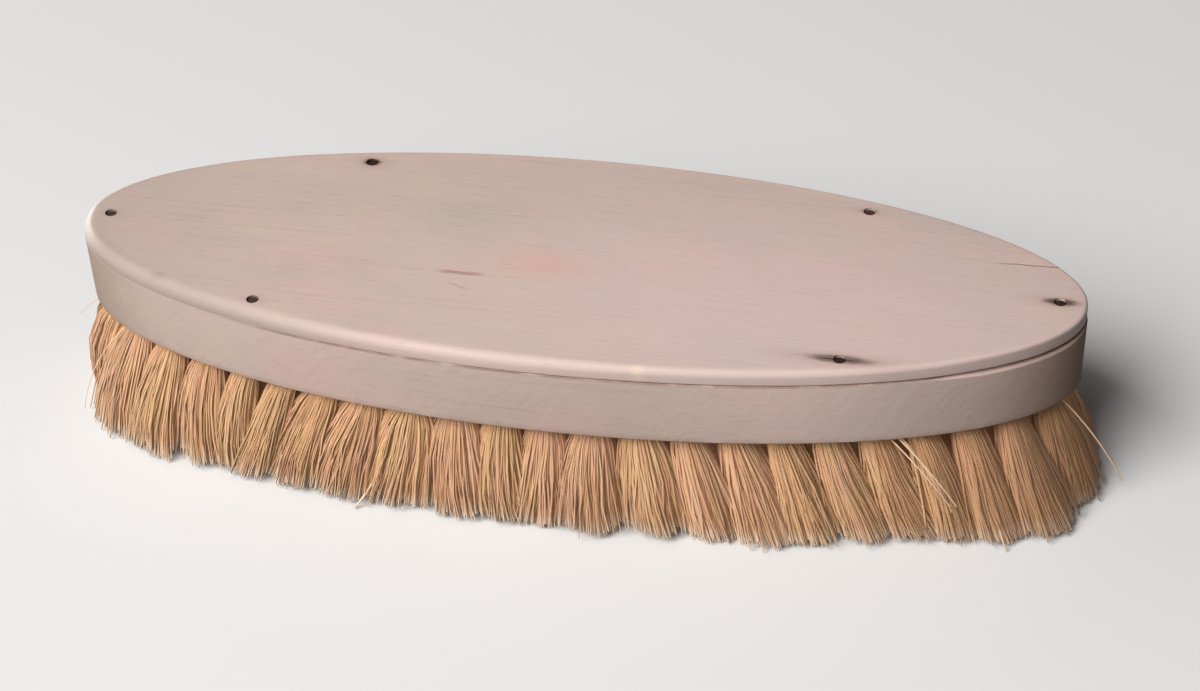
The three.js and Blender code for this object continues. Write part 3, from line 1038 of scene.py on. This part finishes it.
def tuft_points(name, rows, stretch, side, fibres, crowding):
    """The places of the tufts of some rows on a stretch of the brush, on one side or on both."""
    chosen = [
        (row, index, x, y, room)
        for row in rows
        for index, ((x, y), room) in enumerate(zip(tuft_rows[row], rooms_of_row(row)))
        if stretch[0] <= x <= stretch[1] and y * side >= 0
    ]
    mesh = bpy.data.meshes.new(name)
    mesh.from_pydata([(x, y, underside) for _, _, x, y, _ in chosen], [], [])
    draws = np.random.default_rng(tufts_seed + len(chosen)).uniform(-1, 1, (len(chosen), 6))
    level = np.zeros((len(chosen), 1))
    rooms = np.array([room for _, _, _, _, room in chosen])
    leans = np.array([tip_of_tuft(row, x, y) - Vector((x, y, 0)) for row, _, x, y, _ in chosen])
    outs = np.array([outward_at(x, y) for _, _, x, y, _ in chosen])
    bows = [[row_bows[row] * (1 + shared(x, bow_stretches))] for row, _, x, _, _ in chosen]
    vectors = {
        "lean": leans + np.column_stack([draws[:, 0:2] * lean_spread * MM, level]),
        "out": outs,
        "along": np.column_stack([-outs[:, 1], outs[:, 0], level]),
        "bow": outs * bows + np.column_stack([draws[:, 2:4] * bow_spread * MM, level]),
    }
    for label, values in vectors.items():
        give(mesh, label, "FLOAT_VECTOR", values)
    numbers = {
        "number": [row * 100.0 + index for row, index, _, _, _ in chosen],
        "room": rooms * (crowding + draws[:, 3] * room_spread),
        "raise": (lowest_tips + (draws[:, 4] + 1) * tips_spread) * MM,
        "tint": draws[:, 5],
        "inner": [float(row > 0) for row, _, _, _, _ in chosen],
    }
    for label, values in numbers.items():
        give(mesh, label, "FLOAT", values)
    give(mesh, "fibres", "INT", [fibres] * len(chosen))
    return add_object(name, mesh)


row_groups = [
    ("front", [0], -1, outer_fibres, outer_fibre_width, outer_rings),
    ("back", [0], 1, outer_fibres, outer_fibre_width, outer_rings),
    ("inner", [1, 2, 3], 0, inner_fibres, inner_fibre_width, inner_rings),
]
tuft_nodes = {  # each solid's ends, how fast its tufts swell and how tightly they then stand
    "tufts_left_end": (-half_length, -saw_line, 5.5, 1.06),
    "tufts_middle": (-saw_line, saw_line, 4.5, 1.04),
    "tufts_right_end": (saw_line, half_length, 2.4, 0.98),
}
for node, (*stretch, swelling_rate, crowding) in tuft_nodes.items():
    for group, rows, side, fibres, fibre_width, rings in row_groups:
        piece = tuft_points(f"{group}_{node}", rows, stretch, side, fibres, crowding)
        own_sizes = {"Fibre Width": fibre_width, "Rings": rings, "Swelling Rate": swelling_rate}
        add_tree(piece, fibre_tree, tuft_sizes | own_sizes)
        applied(piece)
        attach(piece, "root")
        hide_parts(node)

# ---- The stray fibres ----
# Single fibres that have worked loose from their tufts: each is held in its bore and ends away from
# the others. They are swept along a curve, as the nails are along a straight line.

stray_root = 24.3  # the height of each root, inside its bore, in millimetres as the rest here
stray_curves = [  # its root, the point that it bends toward and its tip, and how thick it is
    ((94.5, -5.0, stray_root), (103.8, -5.6, 15.5), (110.0, -6.2, 3.5), 0.45),
    ((63.5, -19.5, stray_root), (72.0, -26.5, 22), (79.0, -26.5, 11), 0.5),
    ((64.5, -19.5, stray_root), (72.5, -26.3, 21.6), (78.2, -26.6, 9.5), 0.4),
    ((62.0, -20.0, stray_root), (71.0, -27.0, 21.5), (77.8, -27.2, 11.5), 0.4),
    ((79.0, -14.0, stray_root), (85.0, -21.0, 8), (89.0, -26.2, 0.5), 0.55),
    ((-28.0, -26.5, stray_root), (-33.0, -30.0, 6), (-38.4, -34.4, 0.5), 0.7),
    ((-95.0, -4.4, stray_root), (-101.5, -3.5, 21), (-104.8, -1.8, 15.5), 0.25),
    ((-88.0, -11.0, stray_root), (-98.5, -15.0, 16), (-100.4, -17.3, 3), 0.25),
]
stray_steps = np.linspace(0, 1, 12)
stray_sides = 6


def stray_line(root, bend, tip, thickness):
    """The points of one stray fibre, thinner toward its tip, and its girth at each."""
    root, bend, tip = [np.array(point) * MM for point in (root, bend, tip)]
    points = [(1 - t) ** 2 * root + 2 * t * (1 - t) * bend + t**2 * tip for t in stray_steps]
    girths = thickness / 2 * MM * (1 - 0.4 * stray_steps)
    return [(tuple(point), girth) for point, girth in zip(points, girths)]


strays = add_lines("stray_fibres", [stray_line(*stray) for stray in stray_curves])
give(strays.data, "reach", "FLOAT", np.tile(0.92 + 0.08 * stray_steps, len(stray_curves)))
give(strays.data, "tone", "FLOAT", np.ones(len(strays.data.vertices)))
add_tree(strays, swept_tree, {"Sides": stray_sides, "Material": straw})
applied(strays)
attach(strays, "root")
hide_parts(*tuft_nodes)

# ---- The studio ----
# A plain pale floor, evened out away from the brush, one large soft lamp from the upper left of
# the front, and a weak even fill. The camera looks down on the brush's front from a little to the
# right, and is tilted slightly.

floor_reach = 2.0
floor_mesh = bpy.data.meshes.new("floor")
corners = [(x * floor_reach, y * floor_reach, 0) for x, y in ((-1, -1), (1, -1), (1, 1), (-1, 1))]
floor_mesh.from_pydata(corners, [], [(0, 1, 2, 3)])
floor = add_object("floor", floor_mesh)
floor_bounce = (0.160, 0.155, 0.150)  # for the light that it throws back on the brush
floor_pale = (0.800, 0.790, 0.780)
floor_even = (0.550, 0.543, 0.536)  # away from the brush, where a glow makes up the rest
floor_glow = (0.240, 0.237, 0.234)
white = (1.0, 1.0, 1.0)


def floor_material():
    material, shader, place = new_material("pale floor", Roughness=0.9, Emission_Strength=1.0)
    kinds = ["Is Camera Ray", "Is Glossy Ray", "Is Transmission Ray"]
    direct = either(*[place.node("ShaderNodeLightPath", {}, output=kind) for kind in kinds])
    x, y = axis(place, 0), axis(place, 1)
    in_ovals = ((x / (half_length / MM)) ** 2.0 + (y / (half_width / MM)) ** 2.0) ** 0.5
    clear_of_brush = direct * in_ovals.between(1.1, 2.2)
    far = direct * ((x**2.0 + y**2.0) ** 0.5).between(400.0, 1500.0)
    colour = place.plain(floor_bounce).coated((floor_pale, direct), (floor_even, clear_of_brush))
    glow = place.plain(black).coated((floor_glow, clear_of_brush), (white, far))
    place.tree.links.new(colour.socket, shader.inputs["Base Color"])
    place.tree.links.new(glow.socket, shader.inputs["Emission Color"])
    return material


floor.data.materials.append(floor_material())

world = bpy.data.worlds.new("studio")
world.use_nodes = True
bpy.context.scene.world = world
fill_strength = 0.05
background = world.node_tree.nodes["Background"]
background.inputs["Color"].default_value = (*white, 1.0)
camera_ray = Link(world.node_tree).node("ShaderNodeLightPath", {}, output="Is Camera Ray")
strength = camera_ray * (1.0 - fill_strength) + fill_strength
world.node_tree.links.new(strength.socket, background.inputs["Strength"])


def direction(bearing, elevation):
    """The direction at some degrees to the right of the front, and some above the floor."""
    bearing, elevation = math.radians(bearing), math.radians(elevation)
    level = math.cos(elevation)
    return Vector((math.sin(bearing) * level, -math.cos(bearing) * level, math.sin(elevation)))


lamp_bearing = -36
lamp_elevation = 47
lamp_distance = 1.3
lamp_size = 0.9
lamp_power = 23.5
lamp_data = bpy.data.lights.new("soft lamp", "AREA")
lamp_data.energy = lamp_power
lamp_data.size = lamp_size
lamp = add_object("soft lamp", lamp_data)
lamp.location = lamp_distance * direction(lamp_bearing, lamp_elevation)
lamp.rotation_euler = (-lamp.location).to_track_quat("-Z", "Y").to_euler()

camera_bearing = 12.52
camera_elevation = 39.47
camera_tilt = math.radians(-2.39)
camera_distance = 0.4868
camera_aim = Vector((9.67 * MM, -19.98 * MM, cover_top))
sensor_width = 36
camera_lens = 77.34
camera_shift = -0.0171

camera_data = bpy.data.cameras.new("camera")
camera_data.sensor_width = sensor_width
camera_data.lens = camera_lens
camera_data.shift_y = camera_shift
camera = add_object("camera", camera_data)
toward_camera = direction(camera_bearing, camera_elevation)
camera.location = camera_aim + toward_camera * camera_distance
upright = (-toward_camera).to_track_quat("-Z", "Y")
camera.rotation_euler = (upright.to_matrix() @ Matrix.Rotation(camera_tilt, 3, "Z")).to_euler()
bpy.context.scene.camera = camera
bpy.context.scene.view_settings.view_transform = "Standard"
